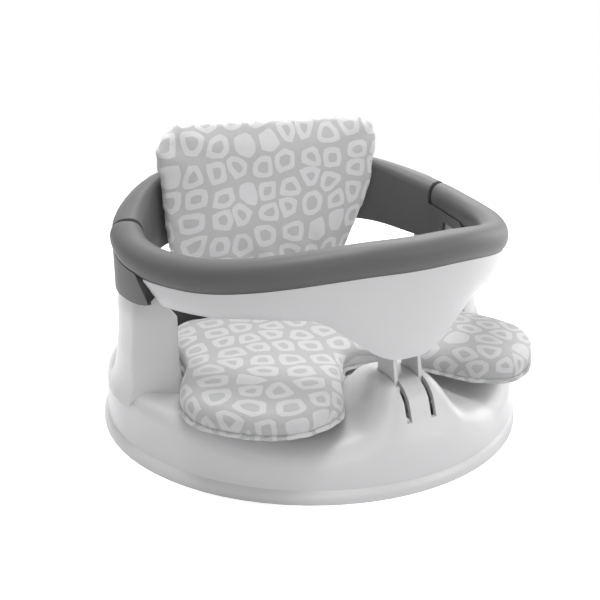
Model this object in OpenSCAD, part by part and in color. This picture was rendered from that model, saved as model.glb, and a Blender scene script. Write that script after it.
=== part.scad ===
// Round baby floor seat: drum base, two side posts, grey rear band with a
// backrest panel, and a front guard that tips forward on a pin in the hump
// between the legs. Millimetres. Front of the seat is -Y, up is +Z, the
// origin is the middle of the base on the floor.

/* [Base] */
// Diameter of the base at the floor
base_d = 350; // [340:1:360]
// Height of the deck that the seat pad lies on
deck_z = 51; // [48:1:54]
// Wall of the moulded shells
wall = 3; // [2.5:0.1:3.5]
// Rounding between the drum wall and the deck
shoulder_r = 14; // [10:1:16]
// Depth of the two leg scoops beside the hump
scoop_depth = 12; // [9:0.5:14]

/* [Ring] */
// Half width of the ring, middle to outer side face
ring_a = 163; // [160:1:165]
// Reach of the ring in front of the middle
ring_front = 152; // [149:1:155]
// Reach of the ring behind the middle
ring_rear = 116; // [113:1:119]
// Lowest height of the line where rail and apron meet
seam_low = 141.5; // [139:0.5:144]
// Rise of that line at the middle of the front
seam_front_rise = 15; // [10:1:18]
// Rise of the band towards the back
seam_rear_rise = 35; // [28:1:38]

/* [Front guard] */
// Width of the padded rail
rail_w = 25; // [22:1:27]
// Height of the padded rail
rail_h = 24.2; // [20:0.2:25]
// Height of the lowest point of the apron
tip_z = 91; // [89:1:95]
// Thickness of each hinge arm
arm_t = 3; // [2.5:0.1:3.2]
// Distance from the middle to the middle of each arm
arm_x = 10.5; // [9.5:0.5:12]
// Diameter of the hinge pin
pin_d = 8; // [7:0.5:8.5]

/* [Pads] */
// Thickness of the seat pad
seat_pad_t = 24; // [18:1:26]
// Thickness of the back pad
back_pad_t = 13; // [10:1:14]
// Height of the top edge of the back pad
back_pad_top = 232; // [228:1:236]

/* [Hidden] */
$fn = 96;
e = 0.01;
run = 0.05;                 // radial running clearance of the pin
base_r = base_d / 2;
wall_r = base_r - 3.5;      // drum wall above the rim
hinge = [0, -134, 48];      // middle of the hinge pin
hump_r = 28;                // radius of the hump front about the pin
scoop_at = 32;              // angle of a scoop's middle from the front
scoop_half = 26;            // angle from a scoop's middle to its edge
front_soft = 10;            // extra rounding of the drum's shoulder at the front
slot_w = arm_t + 1.4;
slot_floor = 49.5;
arm_front = 143.8;          // reach of the arms' front edges
guard_screw_z = [112, 138];
arm_back = 122;
cap_front_t = 78.6;           // ring angle where the side caps begin
inner_wall_t = 92;          // ring angle where the band's inner wall begins
cap_tilt = 4.6;             // ring angle that a side cap's front edge slants by
rail_end_t = 103;           // ring angle of the rail's ends
band_t = 103.6;             // ring angle where the band stands full height
rail_pow = 2.35;            // squareness of the rail's section
rail_drop = 2.5;            // the rail's underside below the seam line
lift = 0.4;                 // gap between the rail and the parts it rests over
cup_xy = 92;                // suction cups from the middle lines
panel_y = 74;               // front face of the backrest panel

WHITE = [0.90, 0.90, 0.91];
GREY = [0.33, 0.33, 0.34];
FABRIC = [0.75, 0.75, 0.76];
STEEL = [0.70, 0.71, 0.73];
RUBBER = [0.62, 0.63, 0.64];

// ---------- the ring's plan and height line ----------
// Ring angle t is 0 at the front, 90 at the right side and 180 at the back.
function smooth(t, t0, t1) = let (s = min(1, max(0, (abs(t) - t0) / (t1 - t0)))) s * s * (3 - 2 * s);
function ring_xy(d, t) = [(ring_a - d) * sin(t),
                          -((cos(t) > 0 ? ring_front : ring_rear) - d) * cos(t)];
function ring_pt(d, t, z) = [ring_xy(d, t)[0], ring_xy(d, t)[1], z];
function seam_z(t) = seam_low + seam_front_rise * (1 - smooth(t, 8, 62))
                     + seam_rear_rise * smooth(t, 72, 165);
function apron_low(t) = seam_low - 15 - (seam_low - 15 - tip_z) * (1 - smooth(t, 3, 29))
                        - 2.5 * smooth(t, 38, 58) + 14 * smooth(t, 71.5, 77.5);
function band_low(t) = seam_low - 20.5 + 7 * (1 - smooth(t, 72, 86)) + 13 * smooth(t, 95, 150);
function band_top(t) = t < band_t ? seam_z(t) - 2.2 : seam_z(t) + rail_h - rail_drop;
function band_w(t) = 24 - 9 * smooth(t, 113, 140);
// underside of the rail at depth d, a superellipse
function rail_under(d, t) = let (q = min(1, abs(d - rail_w / 2 + 1) / (rail_w / 2)))
    seam_z(t) + rail_h / 2 - rail_drop - rail_h / 2 * pow(1 - pow(q, rail_pow), 1 / rail_pow);

// A closed solid through a list of rings of points. turn reverses each ring, for
// rings that run clockwise as seen from the next one. strip closes the ends with
// bands between opposite points, for end rings that aren't flat.
module loft(sections, turn = false, strip = false) {
    n = len(sections);
    m = len(sections[0]);
    points = [for (s = sections) for (j = [0 : m - 1]) s[turn ? m - 1 - j : j]];
    sides = [for (i = [0 : n - 2]) for (j = [0 : m - 1]) let (k = (j + 1) % m)
             each [[i * m + j, i * m + k, (i + 1) * m + k], [i * m + j, (i + 1) * m + k, (i + 1) * m + j]]];
    bands = [for (j = [0 : m / 2 - 2]) each [[j, j + 1, m - 2 - j], [j, m - 2 - j, m - 1 - j]]];
    first = strip ? [for (f = bands) [f[2], f[1], f[0]]] : [[for (j = [m - 1 : -1 : 0]) j]];
    last = strip ? [for (f = bands) [for (j = f) (n - 1) * m + j]] : [[for (j = [0 : m - 1]) (n - 1) * m + j]];
    polyhedron(points, concat(first, sides, last), convexity = 8);
}

// ---------- base ----------
function arc(c, r, a0, a1, n) = [for (i = [0 : n]) let (a = a0 + (a1 - a0) * i / n)
                                 [c[0] + r * cos(a), c[1] + r * sin(a)]];

// Top surface of the drum: a flat deck with a rounded shoulder, two leg scoops
// and the hump between them, all run together in soft fillets.
function soft_max(a, b, k) = max(a, b) + pow(max(k - abs(a - b), 0), 2) / (4 * k);
// the shoulder's rounding grows by front_soft under the legs, at a degrees from the front
function shoulder_z(r, a = 90) = let (s = shoulder_r + front_soft * (1 - smooth(a, 42, 70)), c = wall_r - 1 - s)
    r < c ? deck_z : deck_z - s + sqrt(s * s - pow(min(r - c, s), 2));
function scoop_drop(x, y) = let (q = min(1, abs(abs(atan2(x, -y)) - scoop_at) / scoop_half))
    scoop_depth * pow(cos(90 * q), 2) * smooth(norm([x, y]), 85, 150);
// height of the hump's crest at reach f: a soft rise, then an arc round the pin
function crest(f) = f < 134 ? (f < 76 ? deck_z - 8 : deck_z - 8 + (hinge[2] + hump_r - deck_z + 8) * smooth(f, 76, 112))
                  : f < 158 ? hinge[2] + sqrt(hump_r * hump_r - pow(f + hinge[1], 2))
                  : hinge[2] + sqrt(hump_r * hump_r - pow(158 + hinge[1], 2)) - 2.9 * (f - 158);
function top_z(x, y) = let (base = shoulder_z(norm([x, y]), atan2(x, -y)) - scoop_drop(x, y))
    soft_max(base, base - 9 + (crest(-y) - base + 9) * (1 - smooth(x, 14, 50)), 8);
// the inner skin keeps a wall's distance, also where the outer skin is steep
function under_z(x, y) = min([for (v = [[0, 0], [2.4, 0], [-2.4, 0], [0, 2.4], [0, -2.4]])
    let (w = norm([x + v[0], y + v[1]]) > wall_r - 1 ? 0 : 1) w * top_z(x + v[0], y + v[1]) + (1 - w) * 99]) - wall;

// angles from the front, fine round the hump and the scoops
half_angles = concat([for (a = [0 : 2.5 : 25]) a], [for (a = [30 : 5 : 180]) a]);
angles = concat(half_angles, [for (i = [len(half_angles) - 2 : -1 : 1]) -half_angles[i]]);
function at_angle(r, a) = [r * sin(a), -r * cos(a)];
function skin_ring(r) = [for (a = angles) let (p = at_angle(r, a)) [p[0], p[1], top_z(p[0], p[1])]];
function under_ring(r) = [for (a = angles) let (p = at_angle(r, a)) [p[0], p[1], under_z(p[0], p[1])]];
function flat_ring(r, z) = [for (a = angles) let (p = at_angle(r, a)) [p[0], p[1], z]];

module base_outer() {
    loft(concat([for (r = [76, 84, 92, 100, 107, 114, 121, 128, 134, 140, 146, 151, 155, 158, 160.5, 163,
                           165.5, 168, 169.8, wall_r - 1]) skin_ring(r)],
                [flat_ring(wall_r, 9.5), flat_ring(base_r - 1.5, 7.6), flat_ring(base_r, 5), flat_ring(base_r, 0)]));
}

module base_inner() {
    loft(concat([for (r = [74, 88, 100, 110, 119, 127, 134, 141, 147, 152, 156, 159.5, 162.5, 165.3, wall_r - wall - 1])
                    under_ring(r)],
                [flat_ring(wall_r - wall, 9.5), flat_ring(wall_r - wall, -1)]));
}

module at_cups() {
    for (x = [-1, 1])
        for (y = [-1, 1])
            translate([x * cup_xy, y * cup_xy, 0])
                children();
}

post_screw_at = [[147, -8], [144, 24]];
post_front = -24;
post_rear = 38;
panel_screw_at = [[-60, 88], [60, 88]];
rib_x = 19;                 // middle of each bearing rib
rib_t = 6;
rib_z = 34;                 // lower end of the bearing ribs

module base_shell() {
    color(WHITE)
    difference() {
        union() {
            difference() {
                base_outer();
                base_inner();
            }
            // sockets for the suction cup stems
            for (x = [-cup_xy, cup_xy]) for (y = [-cup_xy, cup_xy])
                translate([x, y, 18]) cylinder(r = 9, h = y < 0 ? 26.5 : 31);
            // bearing ribs that hang from the hump and carry the pin
            for (m = [0, 1]) mirror([m, 0, 0])
                translate([0, hinge[1] + 9.5, 0]) rotate([90, 0, 0]) linear_extrude(height = 19)
                    polygon([[rib_x - rib_t / 2, rib_z], [rib_x + rib_t / 2, rib_z],
                             [rib_x + rib_t / 2, 69.2], [rib_x - rib_t / 2, 72.8]]);
            // stiffening web under the deck, a ring wall
            translate([0, 0, 8]) difference() {
                cylinder(r = 62, h = deck_z - 9);
                translate([0, 0, -1]) cylinder(r = 59.5, h = deck_z);
            }
        }
        // arm slots
        for (x = [-arm_x, arm_x])
            translate([x - slot_w / 2, -170, slot_floor]) cube([slot_w, 170 - arm_back + 1, 60]);
        // pin seats, open downwards so that the pin goes in from below
        translate(hinge) rotate([0, 90, 0]) cylinder(r = pin_d / 2 + 0.01, h = 60, center = true);
        for (x = [-1, 1]) {
            translate([x * rib_x - 5, hinge[1] - pin_d / 2, rib_z - 1])
                cube([10, pin_d, hinge[2] - rib_z + 1]);
            for (y = [-6.7, 6.7])
                translate([x * rib_x, hinge[1] + y, rib_z - 1]) cylinder(r = 1.25, h = 11);
        }
        // stem bores
        at_cups() translate([0, 0, 17]) cylinder(r = 5.02, h = 16);
        // clearance holes for the post and backrest screws
        for (p = concat(post_screw_at, [for (q = post_screw_at) [-q[0], q[1]]], panel_screw_at))
            translate([p[0], p[1], deck_z - 12]) cylinder(r = 2.2, h = 20);
    }
}

// ---------- posts ----------
// Plan of a post at height h over the deck: rounded corners, a foot that
// flares in a fillet, and an inner face that steps in under the rear band.
function flare(h, r) = h >= r ? 0 : r - sqrt(r * r - (r - h) * (r - h));
function ring_x(d, y) = let (q = y / ((y < 0 ? ring_front : ring_rear) - d)) (ring_a - d) * sqrt(1 - q * q);
function ring_t(d, y) = acos(-y / ((y < 0 ? ring_front : ring_rear) - d));
function corner(d, y, sd, sy, r, up) = [for (i = [0 : 3]) let (a = up ? 30 * i : 90 - 30 * i)
    [d + sd * r * (1 - sin(a)), y + sy * r * (1 - cos(a))]];
function post_plan(h) =
    let (front = post_front - flare(h, 24), rear = post_rear + flare(h, 14),
         outer = 3.6 - 0.67 * flare(h, 12), inner = h < 64 ? 24 : 20.4, r = 7)
    concat(corner(outer, front, 1, 1, r, true), [for (k = [1 : 5]) [outer, front + (rear - front) * k / 6]],
           corner(outer, rear, 1, -1, r, false), corner(inner, rear, -1, -1, 3, true),
           [for (k = [5 : -1 : 1]) [inner, front + (rear - front) * k / 6]],
           corner(inner, front, -1, 1, 3, false));
function post_level(h) = [for (p = post_plan(max(h, 0))) let (x = ring_x(p[0], p[1]))
    [x, p[1], h == 0 ? shoulder_z(norm([x, p[1]])) - 0.3
              : h == 100 ? seam_z(ring_t(p[0], p[1])) - 5.45 : deck_z + h]];
// the drum's top at the posts, as one turned body
module plain_drum() {
    rotate_extrude(convexity = 4)
        polygon(concat([[0, 20], [wall_r - 1, 20]],
                       [for (a = [0 : 5 : 90]) [wall_r - 1 - shoulder_r * (1 - cos(a)), deck_z - shoulder_r * (1 - sin(a))]],
                       [[0, deck_z]]));
}

module post_right() {
    color(WHITE)
    difference() {
        loft([for (h = [-14, 0, 1, 2.5, 5, 8, 12, 17, 24, 60, 66, 100]) post_level(h)], true, true);
        translate([0, 0, 2 * e]) plain_drum();
        for (p = post_screw_at)
            translate([p[0], p[1], deck_z - 2]) cylinder(r = 1.75, h = 16);
    }
}

module post_left() {
    mirror([1, 0, 0]) post_right();
}

// ---------- rear band and backrest ----------
function band_section(t) =
    let (low = band_low(t), top = band_top(t), w = band_w(t), full = t >= band_t,
         r = min(10, w / 2 - 1), web = top - wall - (full ? 4 : 0),
         inner_low = t < inner_wall_t ? web - 0.3 : low)
    concat([[0.2, low]],
           full ? concat([for (a = [0 : 18 : 90]) [r - r * cos(a), top - r + r * sin(a)]],
                         [for (a = [90 : -18 : 0]) [w - r + r * cos(a), top - r + r * sin(a)]])
                : [for (k = [0 : 11]) let (d = 0.2 + (w - 0.2) * k / 11)
                   [d, min(rail_under(d, t) - lift, seam_z(t) + 4)]],
           [[w, inner_low], [w - wall, inner_low], [w - wall, web], [wall + 0.2, web], [wall + 0.2, low]]);

band_steps = concat([for (t = [cap_front_t : 2 : inner_wall_t - 1]) t], [inner_wall_t - e, inner_wall_t],
                    [for (t = [inner_wall_t + 2 : 2 : band_t - 1]) t], [band_t - e, band_t],
                    [for (t = [band_t + 4 : 3.9 : 178]) t]);
all_steps = concat([for (t = band_steps) 360 - t], [180], [for (i = [len(band_steps) - 1 : -1 : 0]) band_steps[i]]);

// The caps' front edges slant forward under the apron's rounded ends: a shift
// along the ring for each millimetre under the seam.
function cap_slant(t) = let (s = t > 180 ? 360 - t : t, turn = t > 180 ? cap_tilt : -cap_tilt)
    (1 - smooth(s, cap_front_t, inner_wall_t - 2)) / 16 * (ring_xy(0.2, t + turn) - ring_xy(0.2, t));

module rear_band() {
    color(GREY)
    difference() {
        loft([for (t = all_steps) let (shift = cap_slant(t))
              [for (p = band_section(t > 180 ? 360 - t : t)) let (q = ring_xy(p[0], t) + (seam_low - p[1]) * shift)
               [q[0], q[1], p[1]]]], true);
        // access and clearance holes for the screws into the backrest panel
        for (x = [-45, 45]) translate([x, 0, 158]) rotate([-90, 0, 0]) {
            translate([0, 0, 80]) cylinder(r = 2.2, h = 40);
            translate([0, 0, 104]) cylinder(r = 4.6, h = 20);
        }
    }
}

boss_h = 17.5;               // bosses reach from the panel to the band's inner wall
module panel_outline() {
    polygon([[-70, deck_z], [70, deck_z], [76, 120], [80, 200], [93, 212], [76, 229], [-76, 229],
             [-93, 212], [-80, 200], [-76, 120]]);
}

module backrest_panel() {
    color(GREY)
    difference() {
        union() {
            translate([0, panel_y + 4, 0]) rotate([90, 0, 0]) linear_extrude(height = 4) panel_outline();
            // foot flange
            translate([-70, panel_y, deck_z]) cube([140, 26, 4]);
            // upright ribs behind the panel
            for (x = [-62, -22, 22, 62])
                translate([x - 1.25, panel_y + 3, deck_z]) rotate([90, 0, 90]) linear_extrude(height = 2.5)
                    polygon([[0, 0], [22, 0], [22, 5], [9, 40], [9, 165], [0, 172]]);
            // screw bosses that meet the band
            for (x = [-45, 45]) translate([x, panel_y + 3, 158]) rotate([-90, 0, 0]) cylinder(r = 6, h = boss_h);
        }
        for (p = panel_screw_at) translate([p[0], p[1], deck_z - e]) cylinder(r = 1.75, h = 3.2);
        for (x = [-45, 45]) translate([x, panel_y + 6, 158]) rotate([-90, 0, 0]) cylinder(r = 1.75, h = 20);
    }
}

// ---------- front guard ----------
function rail_section(t, k) = [for (a = [0 : 20 : 340])
    let (c = cos(a), s = sin(a), m = 2 / rail_pow)
    [rail_w / 2 - 1 - k * rail_w / 2 * sign(c) * pow(abs(c), m),
     seam_z(t) + rail_h / 2 - rail_drop + k * rail_h / 2 * sign(s) * pow(abs(s), m)]];

module guard_rail() {
    end_r = 1.8;    // degrees of ring angle taken by the rounded end
    ends = [for (a = [80 : -20 : 20]) [rail_end_t - end_r + end_r * sin(a), sqrt(cos(a))]];
    steps = concat([for (q = ends) [-q[0], q[1]]], [for (k = [0 : 48]) [(rail_end_t - end_r) * (k / 24 - 1), 1]],
                   [for (i = [len(ends) - 1 : -1 : 0]) ends[i]]);
    color(GREY)
    loft([for (q = steps) [for (p = rail_section(q[0], q[1])) ring_pt(p[0], q[0], p[1])]]);
}

// The apron bulges out under the rail and curves in towards its lower edge.
// q runs from 0 at the seam to 1 at the lower edge.
function apron_d(q) = 2.5 + q + 3.5 * pow(q, 3);
module guard_apron() {
    levels = [0, 0.3, 0.55, 0.75, 0.9, 1];
    color(WHITE)
    loft([for (t = [-77 : 2.75 : 77])
          let (top = seam_z(t) - 1.2, low = min(apron_low(t), top - 1.5))
          concat([ring_pt(2.5, t, rail_under(2.5, t) - 0.2)],
                 [for (q = levels) if (q > 0) ring_pt(apron_d(q), t, top + (low - top) * q)],
                 [for (i = [5 : -1 : 1]) ring_pt(apron_d(levels[i]) + wall, t, top + (low - top) * levels[i])],
                 [ring_pt(2.5 + wall, t, rail_under(2.5 + wall, t) - 0.2)])], true);
}

// front edge line of the hinge arms, just behind the apron
function arm_reach(z) = let (q = (seam_z(0) - 1.2 - z) / (seam_z(0) - 1.2 - tip_z))
    (ring_front - apron_d(q) - wall) * cos(4.6) - 0.1;

function inner_d(t) = 9.8 + 21.7 * (1 - smooth(t, 8, 24));
function inner_face(z) = let (q = (seam_z(0) - z) / (seam_z(0) - apron_low(0))) 22 + (inner_d(0) + 2.5 - 22) * q;
module guard_inner_panel() {
    color(WHITE)
    difference() {
        loft([for (t = [-72 : 3 : 72])
              let (low = apron_low(t) + 0.8)
              [ring_pt(19.5, t, rail_under(19.5, t) - 0.3), ring_pt(inner_d(t), t, low),
               ring_pt(inner_d(t) + 2.5, t, low), ring_pt(22, t, rail_under(22, t) - 0.3)]], true);
        for (z = guard_screw_z) translate([0, 0, z]) rotate([90, 0, 0]) cylinder(r = 2.2, h = 140);
    }
}

module arm_profile() {
    // side view as [reach to the front, height]
    union() {
        polygon(concat([[arm_back, hinge[2]], [arm_front, hinge[2]], [arm_front, 76], [arm_reach(tip_z) + 0.2, 88]],
                       [for (z = [tip_z : 6 : 145]) [arm_reach(z), z]],
                       [[arm_reach(145), 148], [arm_reach(145) - 12, 148], [arm_back + 2, 96], [arm_back, 88]]));
        translate([-hinge[1], hinge[2]]) circle(r = 11.7);
    }
}

module guard_bracket() {
    color(WHITE)
    difference() {
        union() {
            for (x = [-arm_x, arm_x])
                translate([x, 0, 0]) rotate([90, 0, -90])
                    linear_extrude(height = arm_t, center = true) arm_profile();
            // web and tube that tie the two arms together
            translate([-arm_x, -136, 100]) cube([2 * arm_x, 3, 46]);
            translate(hinge) rotate([0, 90, 0]) cylinder(r = 7, h = 2 * arm_x, center = true);
            for (z = guard_screw_z)
                translate([0, -134, z]) rotate([-90, 0, 0])
                    cylinder(r = 4.5, h = 134 - ring_front + inner_face(z) - 3.5);
        }
        translate(hinge) rotate([0, 90, 0]) cylinder(r = pin_d / 2 + run, h = 60, center = true);
        for (z = guard_screw_z) translate([0, -112, z]) rotate([90, 0, 0]) cylinder(r = 1.75, h = 25);
    }
}

module hinge_pin() {
    color(STEEL)
    translate(hinge) rotate([0, 90, 0]) cylinder(r = pin_d / 2, h = 46, center = true);
}

module pin_keeper() {
    // strap screwed under a bearing rib, with a tongue that holds the pin up
    color(WHITE)
    translate([rib_x, hinge[1], 0]) difference() {
        union() {
            translate([-4, -9.5, rib_z - 3]) cube([8, 19, 2.95]);
            translate([-2.6, -3.9, rib_z - 1]) cube([5.2, 7.8, hinge[2] - pin_d / 2 - rib_z + 0.95]);
        }
        for (y = [-6.7, 6.7]) translate([0, y, rib_z - 4]) cylinder(r = 1.3, h = 5);
    }
}
module pin_keeper_right() { pin_keeper(); }
module pin_keeper_left() { mirror([1, 0, 0]) pin_keeper(); }

// ---------- suction cups ----------
module suction_cup() {
    color(RUBBER)
    rotate_extrude()
        polygon([[0, 9], [9, 8], [20, 4.5], [27, 0], [29, 0], [28.5, 2.5], [21, 7.5], [11, 12],
                 [7, 17.4], [5, 17.8], [5, 32], [4, 32.8], [0, 32.8]]);
}
module suction_cup_front_left() { translate([-cup_xy, -cup_xy, 0]) suction_cup(); }
module suction_cup_front_right() { translate([cup_xy, -cup_xy, 0]) suction_cup(); }
module suction_cup_rear_left() { translate([-cup_xy, cup_xy, 0]) suction_cup(); }
module suction_cup_rear_right() { translate([cup_xy, cup_xy, 0]) suction_cup(); }

// ---------- pads ----------
// Right half of the seat pad's outline from the notch round the hump to the
// back edge, as hand-set points joined by a smooth curve.
pad_pts = [[-20, -78], [0, -74], [20, -78], [38, -93], [52, -115], [66, -138], [88, -151], [112, -147],
           [136, -128], [150, -108], [153, -84], [143, -58], [130, -36], [122, -10], [118, 20], [108, 45],
           [84, 55], [40, 57], [0, 57], [-40, 57]];
function curve(p, i, u) = 0.5 * (2 * p[i] + (p[i + 1] - p[i - 1]) * u
    + (2 * p[i - 1] - 5 * p[i] + 4 * p[i + 1] - p[i + 2]) * u * u
    + (3 * p[i] - p[i - 1] - 3 * p[i + 1] + p[i + 2]) * u * u * u);
function normal(p, i, u) = let (v = curve(p, i, u + 0.02) - curve(p, i, u - 0.02)) [v[1], -v[0]] / norm(v);
function pad_half(g) = [for (i = [1 : len(pad_pts) - 3]) for (u = [0, 0.33, 0.67])
                        curve(pad_pts, i, u) - g * normal(pad_pts, i, u)];
function pad_outline(g) = let (h = pad_half(g), n = len(h))
    concat(h, [[0, 57 - g]], [for (i = [n - 1 : -1 : 1]) [-h[i][0], h[i][1]]]);

// inset of the pad's side at height z over the deck: both edges are round
function pad_inset(z) = z < 8 ? 9 * (1 - sqrt(1 - pow(1 - z / 8, 2)))
                      : z > 12 ? 13 * (1 - sqrt(1 - pow((z - 12) / (seat_pad_t - 12), 2))) : 0;
module seat_pad() {
    // slices as [lower face, upper face], each running on into the widest one
    slices = concat([[5.5, 12]], [for (z = [0.6, 1.6, 3.2]) [z, 9]],
                    [for (a = [15 : 15 : 90]) [8.5, 12 + (seat_pad_t - 12) * sin(a)]]);
    color(FABRIC)
    for (q = slices) let (rim = q[1] == 9 ? q[0] + 0.8 : q[1] - 1)
        translate([0, 0, deck_z + q[0]]) linear_extrude(height = q[1] - q[0]) polygon(pad_outline(pad_inset(rim)));
}

module back_pad() {
    color(FABRIC)
    translate([0, panel_y - 0.4, 0]) rotate([90, 0, 0]) linear_extrude(height = back_pad_t)
        polygon([[-78, 78], [78, 78], [88, 130], [97, 170], [102, 212], [84, back_pad_top],
                 [-84, back_pad_top], [-102, 212], [-97, 170], [-88, 130]]);
}

module back_pad_strap() {
    // elastic band from the pad's edges round the back of the panel's ribs
    color(GREY) difference() {
        translate([-88.5, panel_y - 0.4, 200]) cube([177, 15.4, 6]);
        translate([-87, panel_y - 1, 199]) cube([174, 14.5, 8]);
    }
}

// ---------- screws ----------
module screw(l) {
    // pan head at z = 0, shank upwards
    translate([0, 0, -2.4]) cylinder(r = 3.8, h = 2.4);
    cylinder(r = 1.74, h = l);
}
module post_screws() {
    color(STEEL) for (s = [-1, 1]) for (p = post_screw_at)
        translate([s * p[0], p[1], deck_z - wall]) screw(14);
}
module backrest_screws() {
    color(STEEL) for (p = panel_screw_at) translate([p[0], p[1], deck_z - wall]) screw(6);
}
module band_screws() {
    color(STEEL) for (x = [-45, 45]) translate([x, 100.15, 158]) rotate([90, 0, 0]) screw(16);
}
module guard_screws() {
    color(STEEL) for (z = guard_screw_z)
        translate([0, inner_face(z) - ring_front + 1, z]) rotate([90, 0, 0]) screw(12);
}
module keeper_screws() {
    color(STEEL) for (s = [-1, 1]) for (y = [-6.7, 6.7])
        translate([s * rib_x, hinge[1] + y, rib_z - 3]) {
            translate([0, 0, -1.6]) cylinder(r = 2.4, h = 1.6);
            cylinder(r = 1.24, h = 10);
        }
}

base_shell();
post_left();
post_right();
rear_band();
backrest_panel();
guard_rail();
guard_apron();
guard_inner_panel();
guard_bracket();
hinge_pin();
pin_keeper_left();
pin_keeper_right();
suction_cup_front_left();
suction_cup_front_right();
suction_cup_rear_left();
suction_cup_rear_right();
seat_pad();
back_pad();
back_pad_strap();
post_screws();
backrest_screws();
band_screws();
guard_screws();
keeper_screws();
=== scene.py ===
# %% [markdown]
# # A round baby floor seat
# The seat stands on a white drum. Two white posts carry a grey band, the front
# guard tips forward on a pin in the hump, and two printed cushions line the seat.
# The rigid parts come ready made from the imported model. This lesson gives every
# part its finish, sews the cushions and lights the scene.

# %% Load the fixed frame
import math

import bmesh
import bpy
from mathutils import Matrix, Vector, noise


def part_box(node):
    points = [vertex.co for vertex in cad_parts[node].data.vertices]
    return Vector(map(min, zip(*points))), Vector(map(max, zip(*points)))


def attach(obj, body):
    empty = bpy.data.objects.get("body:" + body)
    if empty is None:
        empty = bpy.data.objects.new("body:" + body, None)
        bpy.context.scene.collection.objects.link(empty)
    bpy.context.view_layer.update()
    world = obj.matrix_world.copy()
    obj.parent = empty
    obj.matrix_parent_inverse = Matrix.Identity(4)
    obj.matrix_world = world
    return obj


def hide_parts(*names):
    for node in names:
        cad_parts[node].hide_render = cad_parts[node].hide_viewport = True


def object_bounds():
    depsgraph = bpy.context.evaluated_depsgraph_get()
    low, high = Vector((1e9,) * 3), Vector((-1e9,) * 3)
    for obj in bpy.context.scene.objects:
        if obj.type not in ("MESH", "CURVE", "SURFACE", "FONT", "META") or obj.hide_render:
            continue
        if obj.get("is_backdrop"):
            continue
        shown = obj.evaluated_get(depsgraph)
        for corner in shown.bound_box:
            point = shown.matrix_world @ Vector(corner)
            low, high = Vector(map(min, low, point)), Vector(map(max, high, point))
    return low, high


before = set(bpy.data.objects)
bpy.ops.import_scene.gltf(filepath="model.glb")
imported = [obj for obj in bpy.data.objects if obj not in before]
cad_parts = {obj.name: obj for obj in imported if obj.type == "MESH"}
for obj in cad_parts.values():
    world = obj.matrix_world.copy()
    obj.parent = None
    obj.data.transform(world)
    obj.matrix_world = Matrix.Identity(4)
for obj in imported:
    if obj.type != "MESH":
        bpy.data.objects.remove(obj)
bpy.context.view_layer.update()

# %% [markdown]
# ## The camera
# The photograph was taken from the front left, a little above the seat. A camera
# is an object whose -Z looks into the scene, so its matrix is built from the three
# directions of the view: right, up and back. It could be turned by hand until the
# view fits, but numbers give the same frame each time. The middle of the base isn't
# in the middle of the frame, so the camera stands a little beside the line that
# would look straight at it.

# %% Place the camera
AZIMUTH, ELEVATION, ROLL = math.radians(-29.01), math.radians(19.19), math.radians(0.20)
FRAME_PX, FOCAL_PX = 600, 900
DISTANCE = 0.7887
AIM_PX = (308.83, 397.05)    # where the middle of the base shows in the frame
SENSOR_MM = 36

level = Vector((math.cos(AZIMUTH), math.sin(AZIMUTH), 0))
forward = Vector((-math.sin(AZIMUTH) * math.cos(ELEVATION),
                  math.cos(AZIMUTH) * math.cos(ELEVATION), -math.sin(ELEVATION)))
plumb = level.cross(forward)
right = level * math.cos(ROLL) + plumb * math.sin(ROLL)
up = plumb * math.cos(ROLL) - level * math.sin(ROLL)
shift = [(AIM_PX[i] - FRAME_PX / 2) * DISTANCE / FOCAL_PX for i in (0, 1)]
eye = -(forward * DISTANCE + right * shift[0] - up * shift[1])


def add(name, data):
    """A new object in the scene."""
    made = bpy.data.objects.new(name, data)
    bpy.context.scene.collection.objects.link(made)
    return made


camera_data = bpy.data.cameras.new("camera")
camera_data.sensor_width = SENSOR_MM
camera_data.lens = SENSOR_MM * FOCAL_PX / FRAME_PX
camera = add("camera", camera_data)
turn = Matrix((right, up, -forward)).transposed().to_4x4()
camera.matrix_world = Matrix.Translation(eye) @ turn
bpy.context.scene.camera = camera
print("the eye is", round(eye.length, 3), "m from the middle of the base")

# %% [markdown]
# ## Shader sums as Python sums
# A finish needs numbers that vary over the surface, and each sum of two such
# numbers is a Math node. The nodes could be made and joined one by one, but a
# formula is easier to read. So `Wire` wraps one socket and turns +, - and * into
# Math nodes, also where the plain number comes first, as in 1 - ring.

# %% Wires
class Wire:
    """One output socket that can stand in a sum."""

    def __init__(self, finish, socket):
        self.finish, self.socket = finish, socket

    def sum(self, operation, a, b):
        return self.finish.node("ShaderNodeMath", {"operation": operation}, {0: a, 1: b})

    def __add__(self, other): return self.sum("ADD", self, other)
    def __radd__(self, other): return self.sum("ADD", other, self)
    def __sub__(self, other): return self.sum("SUBTRACT", self, other)
    def __rsub__(self, other): return self.sum("SUBTRACT", other, self)
    def __mul__(self, other): return self.sum("MULTIPLY", self, other)
    def __rmul__(self, other): return self.sum("MULTIPLY", other, self)

    def step(self, low, high):
        """0 below low, 1 above high, with a soft step between them."""
        return self.finish.node("ShaderNodeMapRange", {"interpolation_type": "SMOOTHSTEP"},
                                {"Value": self, "From Min": low, "From Max": high})

# %% [markdown]
# ## A finish
# Plastic, rubber, steel, cloth and paper could each get a tree of their own, but
# one Principled shader can be all of them. Its constants go straight onto the
# sockets, and `node` makes any other node from its type, its settings and its
# inputs. Noise and other patterns are joined to the shader's inputs with `drive`.

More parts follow.
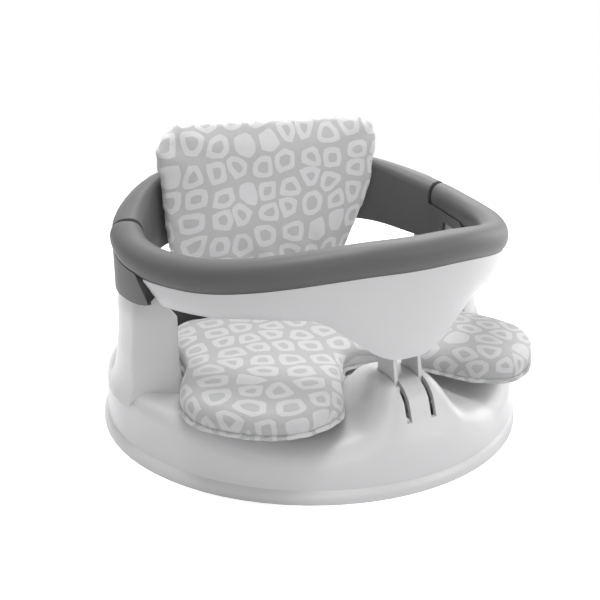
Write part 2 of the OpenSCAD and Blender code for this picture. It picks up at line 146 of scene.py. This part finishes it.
# %% Finishes
class Finish:
    """A material with one Principled shader."""

    def __init__(self, name, **constants):
        self.material = bpy.data.materials.new(name)
        self.material.use_nodes = True
        self.tree = self.material.node_tree
        self.shader = self.tree.nodes["Principled BSDF"]
        for socket, value in constants.items():
            self.shader.inputs[socket.replace("_", " ")].default_value = value

    def node(self, kind, settings=None, inputs=None, out=0):
        made = self.tree.nodes.new(kind)
        for key, value in (settings or {}).items():
            setattr(made, key, value)
        for key, value in (inputs or {}).items():
            if isinstance(value, Wire):
                self.tree.links.new(value.socket, made.inputs[key])
            else:
                made.inputs[key].default_value = value
        return Wire(self, made.outputs[out])

    def place(self, kind="Object"):
        return self.node("ShaderNodeTexCoord", out=kind)

    def grain(self, where, scale, detail):
        return self.node("ShaderNodeTexNoise", None,
                         {"Vector": where, "Scale": scale, "Detail": detail})

    def blend(self, factor, a, b):
        """Colour a where factor is 0, colour b where it is 1."""
        return self.node("ShaderNodeMix", {"data_type": "RGBA"}, {0: factor, 6: a, 7: b}, out=2)

    def drive(self, socket, wire):
        self.tree.links.new(wire.socket, self.shader.inputs[socket])

    def bump(self, height, distance):
        self.drive("Normal", self.node("ShaderNodeBump", None, {
            "Height": height, "Distance": distance, "Strength": 1.0}))


def grey(value):
    return (value, value, value * 1.01, 1.0)

# %% [markdown]
# ## Moulded plastic
# The drum, the posts and the guard's plates are smooth white plastic, and the ring
# round the child is a duller grey. One plain colour could do, but a large surface of
# it looks painted, because a moulded one is faintly uneven. So noise in object
# coordinates moves the colour and the roughness a little, and a very low bump breaks
# the reflections. Only the white has a thin clear coat, for its shine. The cups and
# the strap are made the same way, and the steel is hardly seen and stays plain.

# %% Plastic, rubber and steel
CLOUD_SCALE, SPECK_SCALE, RUB_SCALE = 9.0, 900.0, 38.0    # per metre
MOULD_BUMP = 0.00006


def moulded(name, shade, spread, roughness, coat, shine=0.5):
    made = Finish(name, Coat_Weight=coat, Coat_Roughness=0.25, IOR=1.48, Specular_IOR_Level=shine)
    where = made.place()
    cloud = made.grain(where, CLOUD_SCALE, 3.0)
    speck = made.grain(where, SPECK_SCALE, 2.0)
    made.drive("Base Color", made.blend(cloud, grey(shade - spread), grey(shade + spread)))
    made.drive("Roughness", roughness - 0.05 + 0.1 * made.grain(where, RUB_SCALE, 4.0))
    made.bump(0.8 * speck + 6.0 * cloud, MOULD_BUMP)
    return made.material


white_plastic = moulded("white_plastic", 0.535, 0.006, 0.34, 0.15)
grey_plastic = moulded("grey_plastic", 0.088, 0.006, 0.50, 0.0, 0.38)
rubber = moulded("cup_rubber", 0.42, 0.01, 0.5, 0.0)
dark_elastic = moulded("dark_elastic", 0.09, 0.01, 0.8, 0.0)
steel = Finish("zinc_steel", Metallic=1.0, Roughness=0.35, Base_Color=grey(0.62)).material
print("hard finishes:", [m.name for m in (white_plastic, grey_plastic, rubber, dark_elastic, steel)])

# %% [markdown]
# ## The printed cotton
# The cushions are sewn from one printed cloth: a cool grey ground with pale, uneven
# pebble rings. It could be an image, but shader nodes stay sharp at any distance. A
# Voronoi texture measures how far a point is from the edge of its pebble, and two
# soft steps cut the ring out of that distance. Mixing in the distance from the
# pebble's middle rounds the corners off, and about one pebble in eight is left solid.
# The print follows the cloth, so it reads the cushion's own UV map, which is in
# metres. The two cushions are cut at their own angles, so each has its own turn and
# size. Each also has its own tone, which is painted light and shade: the seat's copy
# of the cloth is painted darker than the back's, for the different light they lie in.

# %% Printed cloth
PEBBLE_EVENNESS = {"Scale": 1.0, "Randomness": 0.52}
WOBBLE = 0.0055
GROUND, RING = 0.52, 0.69
RING_OUTSIDE, RING_INSIDE, SOLID_FROM = (0.118, 0.138), (0.325, 0.350), (0.87, 0.88)
THREADS, CLOTH_BUMP = 520.0, 0.00022


def pebble_ring(made, where):
    """1 on the printed rings and on the solid pebbles, 0 on the ground."""
    def cells(feature, out=0):
        return made.node("ShaderNodeTexVoronoi", {"voronoi_dimensions": "2D", "feature": feature},
                         {"Vector": where, **PEBBLE_EVENNESS}, out=out)

    edge, middle, lot = cells("DISTANCE_TO_EDGE"), cells("F1"), cells("F1", out=1)
    rim = 0.62 * edge + 0.38 * (0.60 - middle)
    solid = made.node("ShaderNodeSeparateColor", None, {"Color": lot}).step(*SOLID_FROM)
    return rim.step(*RING_OUTSIDE) * (1.0 - rim.step(*RING_INSIDE) * (1.0 - solid))


def printed_cloth(name, turn_degrees, pitch, painted_light_factor):
    made = Finish(name, Roughness=0.85, Sheen_Weight=0.2, Sheen_Roughness=0.5, IOR=1.4)
    flat = made.place("UV")
    wobble = made.node("ShaderNodeTexNoise", None,
                       {"Vector": flat, "Scale": 55.0, "Detail": 1.5}, out=1)
    bent = made.node("ShaderNodeMix", {"data_type": "VECTOR"}, {0: WOBBLE, 4: flat, 5: wobble}, out=1)
    print_at = made.node("ShaderNodeMapping", None, {
        "Vector": bent, "Rotation": (0, 0, math.radians(turn_degrees)),
        "Scale": (1 / pitch, 1 / pitch, 1)})
    ring = pebble_ring(made, print_at)
    threads = [made.node("ShaderNodeTexWave", {"bands_direction": way},
                         {"Vector": flat, "Scale": THREADS}) for way in "XY"]
    tint = made.grain(flat, 30.0, 3.0)
    # Both colours are scaled by the cushion's own factor, which paints light and shade onto the
    # cloth.
    made.drive("Base Color", made.blend(ring * (0.93 + 0.07 * tint),
                                        grey(GROUND * painted_light_factor), grey(RING * painted_light_factor)))
    made.bump(0.35 * (threads[0] * threads[1]) + 3.0 * made.grain(flat, 70.0, 3.0), CLOTH_BUMP)
    return made.material


# The seat's cloth is painted darker and the back's a little lighter: painted shade and light on one
# cloth.
seat_cloth = printed_cloth("seat_cloth", 12, 0.0222, 0.74)
back_cloth = printed_cloth("back_cloth", -4, 0.0215, 1.01)
print("cloths:", seat_cloth.name, back_cloth.name)

# %% [markdown]
# ## Small parts
# Screws, the pin, its keepers, the cups and the strap are small and hardly seen.
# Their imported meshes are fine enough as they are, so they only get a material.

# %% Finishes on the small parts
def paint(mesh, material):
    mesh.materials.clear()
    mesh.materials.append(material)


FINISHES = {
    white_plastic: ["pin_keeper_left", "pin_keeper_right"],
    rubber: ["suction_cup_front_left", "suction_cup_front_right",
             "suction_cup_rear_left", "suction_cup_rear_right"],
    dark_elastic: ["back_pad_strap"],
    steel: ["hinge_pin", "post_screws", "backrest_screws", "band_screws", "guard_screws",
            "keeper_screws"],
}
for finish, nodes in FINISHES.items():
    for name in nodes:
        paint(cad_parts[name].data, finish)
    print(finish.name, "on", len(nodes), "small parts")

# %% [markdown]
# ## Skins for the mouldings
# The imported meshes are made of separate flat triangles, so a large moulding would
# show its facets. It could be modelled anew, but would then lose its exact sizes. So
# it gets a skin: the same mesh with its points welded, its triangles joined to quads
# and smooth shading between true creases. Where it shows, a bevel puts the fine
# round on each crease that a mould leaves. The skin stands for its node and rides on
# the same body.

# %% Make a skin
CREASE = math.radians(32)
FLAT_ENOUGH, SQUARE_ENOUGH = math.radians(7), math.radians(55)


def copy_of(node, name, weld):
    """A node's mesh in a new object, with points closer than weld made one."""
    piece = add(name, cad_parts[node].data.copy())
    mesh = piece.data
    if "custom_normal" in mesh.attributes:
        mesh.attributes.remove(mesh.attributes["custom_normal"])
    work = bmesh.new()
    work.from_mesh(mesh)
    bmesh.ops.remove_doubles(work, verts=work.verts, dist=weld)
    work.to_mesh(mesh)
    work.free()
    return piece


def stand_for(piece, node, body):
    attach(piece, body)
    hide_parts(node)


def skin(node, body, material, round_mm=0, subdivide=0, grow_mm=0, reshape=None, weld=2e-5):
    piece = copy_of(node, node + "_skin", weld)
    paint(piece.data, material)
    work = bmesh.new()
    work.from_mesh(piece.data)
    if reshape:
        reshape(work)
    work.normal_update()
    for vertex in work.verts:
        vertex.co += vertex.normal * (grow_mm / 1000)
    bmesh.ops.join_triangles(work, faces=work.faces, angle_face_threshold=FLAT_ENOUGH,
                             angle_shape_threshold=SQUARE_ENOUGH)
    for face in work.faces:
        face.smooth = True
    for edge in work.edges:
        edge.smooth = edge.calc_face_angle(0.0) < CREASE
    work.to_mesh(piece.data)
    work.free()
    if subdivide:
        finer = piece.modifiers.new("finer", "SUBSURF")
        finer.levels = finer.render_levels = subdivide
    if round_mm:
        edge = piece.modifiers.new("mould round", "BEVEL")
        edge.width, edge.segments = round_mm / 1000, 2
        edge.limit_method, edge.angle_limit = "ANGLE", CREASE
        edge.harden_normals = True
    stand_for(piece, node, body)
    print(piece.name, "has", len(piece.data.polygons), "faces")

# %% [markdown]
# ### The posts
# The photographed posts reach farther forward than the solids, and stand out a
# little over the drum's shoulder. New posts could be drawn, but the skins only need
# to be pushed there. The ring's plan is a flattened circle, so a point's depth is
# measured inwards from it. Level cuts give the skin enough points, and each point is
# carried forward and outward by its depth and height. Near the band it stays put.

# %% Broaden a post
RING_SIDE, RING_FRONT, RING_REAR = 0.163, 0.152, 0.116
POST_FRONT, POST_REAR, POST_THICK = -0.024, 0.038, 0.0204
POST_LEVELS = (0.080, 0.088, 0.096, 0.104, 0.108, 0.112, 0.116, 0.120, 0.124, 0.128, 0.132, 0.136)
OUTER_FACE = 0.0036                        # depth of the face that looks outwards
FORWARD, WAIST_OUT, FOOT_OUT, FOOT_DOWN = 0.0165, 0.0026, 0.0040, 0.006
DECK = 0.051


def ease(value, low, high):
    """0 below low, 1 above high, with a soft step between them."""
    part = min(1.0, max(0.0, (value - low) / (high - low)))
    return part * part * (3 - 2 * part)


def cut_level(form, height):
    """Cut a form with a level plane, and return the points and edges of the cut."""
    return bmesh.ops.bisect_plane(form, geom=form.verts[:] + form.edges[:] + form.faces[:], dist=1e-6,
                                  plane_co=(0, 0, height), plane_no=(0, 0, 1))["geom_cut"]


def broaden(work):
    for height in POST_LEVELS:
        cut_level(work, height)
    for vertex in work.verts:
        x, y, z = vertex.co
        depth = 1 - math.hypot(x / RING_SIDE, y / (RING_FRONT if y < 0 else RING_REAR))
        inward = ease(depth * RING_SIDE, OUTER_FACE, OUTER_FACE + POST_THICK)
        y = max(y, POST_FRONT + 0.1 * (y - POST_FRONT))
        ahead = max(0.0, (POST_REAR - y) / (POST_REAR - POST_FRONT))
        y -= FORWARD * inward * ahead ** 2 * (1 - ease(z, 0.123, 0.135))
        out = WAIST_OUT * (1 - ease(z, 0.108, 0.122)) + FOOT_OUT * (1 - ease(z, DECK, 0.100))
        depth -= out * (1 - inward) / RING_SIDE
        reach = RING_FRONT if y < 0 else RING_REAR
        x = math.copysign(RING_SIDE * math.sqrt((1 - depth) ** 2 - (y / reach) ** 2), x)
        z -= FOOT_DOWN * (1 - inward) * (1 - ease(z, DECK, 0.058))
        vertex.co = x, y, z

# %% [markdown]
# ### The rail's ends and the panel's foot
# In the photograph the rail's ends all but touch the band, so the last points of the
# rail move back. Below the guard a dark corner shows between the left post and the
# seat cushion. It is read as the backrest panel, which widens towards its foot.

# %% Close the rail's ends, flare the panel
RAIL_END, RAIL_CLOSER = 0.0235, 0.0026
PANEL_LEVELS = (0.062, 0.070, 0.076, 0.082, 0.088, 0.094)
PANEL_SIDE, PANEL_BACK, FLARE = 0.066, 0.079, 0.026


def close_up(work):
    for vertex in work.verts:
        vertex.co.y += RAIL_CLOSER * ease(vertex.co.y, 0.0195, RAIL_END)


def flare(work):
    for height in PANEL_LEVELS:
        cut_level(work, height)
    for vertex in work.verts:
        x, y, z = vertex.co
        if y < PANEL_BACK and abs(x) > PANEL_SIDE:
            vertex.co.x += math.copysign(FLARE, x) * (1 - ease(z, 0.072, 0.096))

# %% [markdown]
# ### Lay the skins
# Nine mouldings get one. The rail is a padded tube, so it is subdivided and grown by
# a quarter of a millimetre to keep its width. The drum's slots have points very close
# together along their edges, so it is welded with a wider reach.

# %% Skins on the mouldings
skin("base_shell", "seat", white_plastic, weld=1e-4)
skin("post_left", "seat", white_plastic, reshape=broaden)
skin("post_right", "seat", white_plastic, reshape=broaden)
skin("rear_band", "seat", grey_plastic, round_mm=0.3)
skin("backrest_panel", "seat", grey_plastic, reshape=flare)
skin("guard_rail", "guard", grey_plastic, subdivide=1, grow_mm=0.25, reshape=close_up)
skin("guard_apron", "guard", white_plastic, round_mm=0.5)
skin("guard_inner_panel", "guard", white_plastic, round_mm=0.4)
skin("guard_bracket", "guard", white_plastic, round_mm=0.5)

# %% [markdown]
# ## Cushions
# A real cushion is two cloths sewn together round a soft filling. It could be
# sculpted by hand, but a block that is filled swells as the real one does. It starts
# as its CAD block. A voxel remesh gives it an even skin with rounded edges, and a
# vertex group holds the sides still, so that only the wide faces rise.

# %% An even skin for a cushion
def bake(piece):
    """Replace a piece's mesh by what its modifiers make of it."""
    bpy.context.view_layer.update()
    seen = piece.evaluated_get(bpy.context.evaluated_depsgraph_get())
    baked = bpy.data.meshes.new_from_object(seen)
    piece.modifiers.clear()
    piece.data = baked


def cushion_from(node, name, voxel, shrink, top_axis):
    """An evenly meshed copy of a node, with the group "held" on its sides."""
    piece = copy_of(node, name, 1e-6)
    remesh = piece.modifiers.new("even skin", "REMESH")
    remesh.mode, remesh.voxel_size = "VOXEL", voxel
    bake(piece)
    work = bmesh.new()
    work.from_mesh(piece.data)
    for _ in range(3):
        bmesh.ops.smooth_vert(work, verts=work.verts, factor=0.5,
                              use_axis_x=True, use_axis_y=True, use_axis_z=True)
    work.normal_update()
    for vertex in work.verts:
        vertex.co -= vertex.normal * shrink
    work.to_mesh(piece.data)
    work.free()
    held = piece.vertex_groups.new(name="held")
    for vertex in piece.data.vertices:
        held.add([vertex.index], 1 - ease(abs(vertex.normal[top_axis]), 0.35, 0.9), "REPLACE")
    return piece

# %% [markdown]
# ### Fill a cushion
# The filling pushes the cover out from inside. Moving the points by a formula gives
# an even dome, while a cloth simulation under pressure also finds the soft slopes
# towards the held sides. Twenty frames are enough for it to rise. Its gravity is off
# because the cushion lies on its seat, and no point may go farther than the given
# cap.

# %% Swell it
PRESSURE, SWELL_FRAMES = 4.0, 20


def swell(piece, cap):
    rest = [v.co.copy() for v in piece.data.vertices]
    cloth = piece.modifiers.new("cloth", "CLOTH")
    cloth.settings.use_pressure = True
    cloth.settings.uniform_pressure_force = PRESSURE
    cloth.settings.vertex_group_mass = "held"
    cloth.settings.effector_weights.gravity = 0
    cloth.point_cache.frame_end = SWELL_FRAMES
    for step in range(1, SWELL_FRAMES + 1):
        bpy.context.scene.frame_set(step)
    bake(piece)
    bpy.context.scene.frame_set(1)
    moved = 0.0
    for vertex, home in zip(piece.data.vertices, rest):
        step = vertex.co - home
        if step.length > cap:
            vertex.co = home + step * (cap / step.length)
        moved = max(moved, min(step.length, cap))
    print(piece.name, "swelled by up to", round(moved * 1000, 1), "mm")

# %% [markdown]
# ### Lay the print on a cushion
# The printed cloth lies flat on the wide face and folds over at the sides. So the map
# is the view along the top axis, and on the sides it is carried on by as much as the
# point lies below the top. It is in metres, which keeps the rings at their real size.

# %% Print map
def wrap_uv(piece, top_axis, reference):
    """UV in metres: seen along top_axis, and carried on down the sides."""
    flat = [i for i in (0, 1, 2) if i != top_axis]
    mesh = piece.data
    layer = mesh.uv_layers.new(name="print")
    for loop in mesh.loops:
        vertex = mesh.vertices[loop.vertex_index]
        drop = abs(reference - vertex.co[top_axis])
        layer.data[loop.index].uv = [vertex.co[i] + vertex.normal[i] * drop for i in flat]

# %% [markdown]
# ### A hem
# Where the two cloths of a cushion are sewn together, a narrow folded strip stands out.
# The cushion's own surface gives the line of the seam: a plane cuts a copy of it there,
# everything but the cut's edges goes, and those edges are pulled out into a strip.

# %% Cut a hem from a cushion
HEM_THICK, HEM_TUCKED_IN = 0.0012, 0.0008


def hem_of(cushion, name, seam_z, reach, hang):
    form = bmesh.new()
    form.from_mesh(cushion.data)
    seam_edges = {part for part in cut_level(form, seam_z) if isinstance(part, bmesh.types.BMEdge)}
    form.normal_update()
    outward = {v.co.to_tuple(6): v.normal.xy.normalized().to_3d()
               for edge in seam_edges for v in edge.verts}
    bmesh.ops.delete(form, geom=[e for e in form.edges if e not in seam_edges], context="EDGES")
    bmesh.ops.delete(form, geom=[v for v in form.verts if not v.link_edges], context="VERTS")
    length = sum(edge.calc_length() for edge in form.edges)
    strip = bmesh.ops.extrude_edge_only(form, edges=form.edges[:])["geom"]
    lip = {part for part in strip if isinstance(part, bmesh.types.BMVert)}
    for vertex in form.verts:
        away = outward[vertex.co.to_tuple(6)]
        vertex.co += away * reach - Vector((0, 0, hang)) if vertex in lip else away * -HEM_TUCKED_IN
    bmesh.ops.recalc_face_normals(form, faces=form.faces[:])
    mesh = bpy.data.meshes.new(name)
    form.to_mesh(mesh)
    form.free()
    piece = add(name, mesh)
    fold = piece.modifiers.new("folded double", "SOLIDIFY")
    fold.thickness, fold.offset = HEM_THICK, 0
    print(name, "is", round(length, 3), "m long")
    return piece

# %% [markdown]
# ### The seam of the seat cushion
# Its two lobes lie over the leg scoops. Its outline, seen from above, is a star shape
# about a point between the legs, so a direction from that point finds the seam. The
# outline is measured on the CAD block, just above its lower rounding.

# %% Find the seam
HEART = Vector((0, -0.020))
SEAM_AT, HEM_AT = 0.0084, 0.006            # above the cushion's underside
seat_low, seat_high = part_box("seat_pad")


def outline_of(node, middle, height):
    """Directions and reaches of a node's outline about a point, where a level plane cuts it."""
    form = bmesh.new()
    form.from_mesh(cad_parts[node].data)
    cut = cut_level(form, height)
    found = {}
    for away in (part.co.xy - middle for part in cut if isinstance(part, bmesh.types.BMVert)):
        found[round(math.atan2(away.y, away.x), 3)] = away.length
    form.free()
    return sorted(found.items())


seam = outline_of("seat_pad", HEART, seat_low.z + SEAM_AT)
print("seam points:", len(seam))


def seam_reach(angle):
    for (a, ra), (b, rb) in zip(seam, seam[1:] + [(seam[0][0] + math.tau, seam[0][1])]):
        if a <= angle <= b:
            return ra + (rb - ra) * (angle - a) / (b - a)
    return seam[-1][1]

# %% [markdown]
# ### How the cloth of the seat cushion lies
# The lobes droop a little into the leg scoops, the left one more than the right, and
# the stitches pull small puckers into the cloth along the seam. A texture could only
# shade them, and they also show in the outline, so they are moved points. A sine
# along the seam, with its pitch and height disturbed by noise, doesn't repeat.

# %% Droop, puckers and spread
SCOOP_SIDE = 33                            # degrees from the front to a scoop's middle
DROOP_LEFT, DROOP_RIGHT = 0.0015, 0.0005
PUCKER_PITCH = 0.0125
LEFT_LOBE_MOVE = Vector((0.013, -0.006, 0.001))


def droop(x, y):
    """How far the cushion sinks into a leg scoop."""
    side = math.degrees(math.atan2(abs(x), -y))
    near = max(0.0, math.cos(math.radians(min(90.0, abs(side - SCOOP_SIDE) * 2.9))))
    depth = DROOP_RIGHT if x > 0 else DROOP_LEFT
    return depth * near * near * ease(math.hypot(x, y), 0.100, 0.150)


def pucker(angle, reach):
    run = angle * reach
    drift = noise.noise(Vector((run * 40, 3.1, 0)))
    height = 0.6 + 0.8 * noise.noise(Vector((run * 25, 9.7, 2)))
    return math.sin(math.tau * run / PUCKER_PITCH + 4 * drift) * height


def left_lobe(x, y):
    """1 on the inner side of the left lobe, which spreads towards the hump."""
    return ease(x, -0.110, -0.060) * ease(-x, 0.0, 0.028) * ease(-y, 0.055, 0.095)

# %% [markdown]
# ### The seat cushion
# The cushion and its hem go through the same shaping, so they stay together. The
# pull of the seam fades with height and with the distance from the rim, and broad,
# low folds lie on the upper face.

# %% The seat cushion and its hem
RIM_FROM, RIM_TO, SEAM_SPREAD = 0.022, 0.002, 0.007
PUCKER_OUT, SEAM_IN, PUCKER_UP = 0.0011, 0.0015, 0.0012
FOLD_SCALE, FOLD_UP, UPPER_FACE = 22, 0.0012, 0.012

seat_cushion = cushion_from("seat_pad", "seat_cushion", 0.005, 0.0008, 2)
swell(seat_cushion, 0.008)
SEAM_Z = seat_low.z + HEM_AT
seat_hem = hem_of(seat_cushion, "seat_cushion_hem", SEAM_Z, 0.0022, 0.0030)
for vertex in [v for piece in (seat_cushion, seat_hem) for v in piece.data.vertices]:
    away = vertex.co.xy - HEART
    angle, reach = math.atan2(away.y, away.x), away.length
    rim = ease(reach, seam_reach(angle) - RIM_FROM, seam_reach(angle) - RIM_TO)
    pull = math.exp(-((vertex.co.z - SEAM_Z) / SEAM_SPREAD) ** 2) * rim
    outward = away.normalized()
    wave = pucker(angle, reach)
    vertex.co.xy += outward * pull * (PUCKER_OUT * wave - SEAM_IN)
    vertex.co.z += PUCKER_UP * wave * pull
    folds = noise.noise(Vector((vertex.co.x * FOLD_SCALE, vertex.co.y * FOLD_SCALE, 1.3)))
    if vertex.co.z > seat_low.z + UPPER_FACE:
        vertex.co.z += FOLD_UP * folds
    vertex.co.z -= droop(vertex.co.x, vertex.co.y)
    vertex.co += LEFT_LOBE_MOVE * left_lobe(vertex.co.x, vertex.co.y)
for piece in (seat_cushion, seat_hem):
    wrap_uv(piece, 2, seat_high.z)
    paint(piece.data, seat_cloth)
print("seat cushion and hem:", len(seat_cushion.data.polygons), len(seat_hem.data.polygons), "faces")

# %% [markdown]
# ### How the cloth of the back cushion lies
# It hangs on the panel by its strap and isn't symmetrical: the cloth bags out on its
# left side, is drawn in at the lower right, and fills its right upper corner. Seen
# from the front, a point in an upper corner moves from a round towards a square
# outline, and a point at a side moves outwards or inwards by its height.

# %% Slack cloth
CORNER, CORNER_SIZE = (0.084, 0.212), (0.018, 0.020)
FILL_LEFT, FILL_RIGHT = 0.25, 0.8
SIDE_AT = 0.095


def slack_corner(x, z):
    """Where the slack cloth carries a point of the back cushion, seen from the front."""
    u, v = ((abs(x) - CORNER[0]) / CORNER_SIZE[0], (z - CORNER[1]) / CORNER_SIZE[1])
    if u > 0 and v > 0:
        square = (u + v) / (u ** 4 + v ** 4) ** 0.25
        fill = 1 + (square - 1) * min(1, u + v) ** 2 * (FILL_RIGHT if x > 0 else FILL_LEFT)
        x = math.copysign(CORNER[0] + u * fill * CORNER_SIZE[0], x)
        z = CORNER[1] + v * fill * CORNER_SIZE[1]
    if x > 0:
        wide = 0.0050 - 0.0220 * (1 - ease(z, 0.080, 0.172))
    else:
        wide = 0.0040 + 0.0080 * (1 - ease(z, 0.115, 0.185))
    x += math.copysign(1, x) * wide * min(1.0, abs(x) / SIDE_AT) ** 1.5
    return x, z + ease(z, 0.190, 0.225) * (0.0005 - 0.023 * x)

# %% [markdown]
# ### The back cushion
# Its edge is gathered by the seam all round, so the same kind of wave runs along the
# outline, on the top and the sides. The cloth also creases a little where it slides
# down the panel.

# %% The back cushion
EDGE_RADIUS, GATHER_PITCH = 0.11, 0.011    # metres along the edge for an angle of one radian
GATHER_UP, GATHER_OUT, SWAY, CREASE_DEPTH = 0.0009, 0.0006, 0.0010, 0.0014

back_low, back_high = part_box("back_pad")
back_cushion = cushion_from("back_pad", "back_cushion", 0.004, 0.0005, 1)
swell(back_cushion, 0.007)
wrap_uv(back_cushion, 1, back_low.y)
middle_z = (back_low.z + back_high.z) / 2
for vertex in back_cushion.data.vertices:
    x, z = vertex.co.x, vertex.co.z
    top = ease(z, back_high.z - 0.012, back_high.z - 0.001)
    side = ease(abs(x), 0.082, 0.098)
    run = math.atan2(z - middle_z, x) * EDGE_RADIUS
    wave = math.sin(math.tau * run / GATHER_PITCH + 3 * noise.noise(Vector((run * 40, 5, 0))))
    vertex.co.z += GATHER_UP * wave * top
    vertex.co.x += GATHER_OUT * wave * side * (1 if x > 0 else -1)
    vertex.co.y += SWAY * noise.noise(Vector((x * 26, 4.0, z * 18)))
    low = 1 - ease(z, 0.085, 0.150)
    vertex.co.y += CREASE_DEPTH * low * math.sin(x * 190 + z * 160)
    vertex.co.xz = slack_corner(vertex.co.x, vertex.co.z)
paint(back_cushion.data, back_cloth)
print("back cushion:", len(back_cushion.data.polygons), "faces")

# %% [markdown]
# ### The cushions ride on the seat
# Each cushion takes the place of its plain CAD block. One level of subdivision
# smooths the outline that the shaping left.

# %% Soft skins
for piece in (seat_cushion, back_cushion, seat_hem):
    piece.data.polygons.foreach_set("use_smooth", [True] * len(piece.data.polygons))
    subdivision = piece.modifiers.new("smooth skin", "SUBSURF")
    subdivision.levels = subdivision.render_levels = 1
for piece, node in ((seat_cushion, "seat_pad"), (back_cushion, "back_pad")):
    stand_for(piece, node, "seat")
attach(seat_hem, "seat")
print("soft pieces:", seat_cushion.name, back_cushion.name, seat_hem.name)

# %% [markdown]
# ## The floor
# The photograph is a cut-out on pure white. A white world alone would lose the
# contact shadow, so a round paper floor keeps it. Its light is even only near the
# lamps' aim, so the disc ends where it would turn grey. A little glow, which only
# camera, glossy and transmission rays see, brings it close to white.

# %% A paper floor
FLOOR_REACH, FLOOR_SHADE, FLOOR_GLOW = 1.0, 0.8, 0.54


def glow_to_camera(name, shade, strength):
    made = Finish(name, Roughness=0.9, Base_Color=grey(shade), Specular_IOR_Level=0.1)
    seen = made.node("ShaderNodeLightPath", out="Is Camera Ray")
    for ray in ("Is Glossy Ray", "Is Transmission Ray"):
        seen = seen + made.node("ShaderNodeLightPath", out=ray)
    plain = Wire(made, made.shader.outputs[0])
    glow = made.node("ShaderNodeEmission", None, {"Color": grey(1.0), "Strength": strength})
    both = made.node("ShaderNodeAddShader", None, {0: plain, 1: glow})
    mixed = made.node("ShaderNodeMixShader", None, {0: seen, 1: plain, 2: both})
    made.tree.links.new(mixed.socket, made.tree.nodes["Material Output"].inputs["Surface"])
    return made.material


floor_form = bmesh.new()
bmesh.ops.create_circle(floor_form, cap_ends=True, segments=96, radius=FLOOR_REACH)
floor_mesh = bpy.data.meshes.new("floor")
floor_form.to_mesh(floor_mesh)
floor_form.free()
floor_mesh.materials.append(glow_to_camera("floor_paper", FLOOR_SHADE, FLOOR_GLOW))
floor = add("floor", floor_mesh)
floor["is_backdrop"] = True
print("the floor is", 2 * FLOOR_REACH, "m across")

# %% [markdown]
# ## The world
# The white round the object is the world. As one white light it would wash out the
# shadows, so it has two backgrounds: a dim one that fills the shadows, and a pure
# white one for the camera and for reflections. Light Path chooses between them.

# %% White to the camera, dim to the object
SKY_SHADE, SKY_STRENGTH = 0.9, 0.25

world = bpy.data.worlds.new("studio")
bpy.context.scene.world = world
world.use_nodes = True
sky = world.node_tree


def background(colour, strength):
    made = sky.nodes.new("ShaderNodeBackground")
    made.inputs["Color"].default_value, made.inputs["Strength"].default_value = colour, strength
    return made


rays = sky.nodes.new("ShaderNodeLightPath")
soft, white = background(grey(SKY_SHADE), SKY_STRENGTH), background((1, 1, 1, 1), 1.0)
either = sky.nodes.new("ShaderNodeMixShader")
seen = rays.outputs["Is Camera Ray"]
for ray in ("Is Glossy Ray", "Is Transmission Ray"):
    also = sky.nodes.new("ShaderNodeMath")
    sky.links.new(seen, also.inputs[0])
    sky.links.new(rays.outputs[ray], also.inputs[1])
    seen = also.outputs[0]
sky.links.new(seen, either.inputs[0])
sky.links.new(soft.outputs[0], either.inputs[1])
sky.links.new(white.outputs[0], either.inputs[2])
sky.links.new(either.outputs[0], sky.nodes["World Output"].inputs["Surface"])
print("sky strength", SKY_STRENGTH)

# %% [markdown]
# ## The lamps
# The photograph's light is soft and comes from above, with more of it from the
# right. A picture of a studio could light it, but lamps are easier to balance one by
# one. So eight wide discs stand round the seat and all look at its middle. The one
# overhead is the strongest, and those behind light the ring's and the cushions'
# upper edges.

# %% Eight soft lamps
LAMP_ACROSS, LAMPS_LOOK_AT = 1.1, (0, 0, 0.1)
LAMPS = {    # where each stands, in metres, and its power in watts
    "overhead": ((0, 0, 1.8), 31.0), "right_back": ((1.0, 0.9, 1.3), 15.0),
    "back": ((0.3, 1.6, 0.6), 4.6), "right_side": ((1.7, 0.1, 0.4), 8.4),
    "front": ((-0.7, -1.6, 0.6), 5.2), "right_front": ((1.1, -1.3, 0.65), 7.2),
    "left_back": ((-1.0, 0.9, 1.3), 3.3), "top_front": ((-0.4, -1.1, 1.5), 2.9),
}
for name, (place, power) in LAMPS.items():
    light = bpy.data.lights.new(name, "AREA")
    light.shape, light.size, light.energy = "DISK", LAMP_ACROSS, power
    lamp = add(name, light)
    lamp.location = place
    lamp.rotation_mode = "QUATERNION"
    lamp.rotation_quaternion = (Vector(LAMPS_LOOK_AT) - Vector(place)).to_track_quat("-Z", "Y")
print(len(LAMPS), "lamps,", round(sum(power for _, power in LAMPS.values()), 1), "W in all")

# %% [markdown]
# ## The last settings
# The Standard view shows colours as they are written. The last line measures the
# bounds of all that is rendered, apart from the floor.

# %% Settings and the closing line
bpy.context.scene.view_settings.view_transform = "Standard"
low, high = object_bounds()
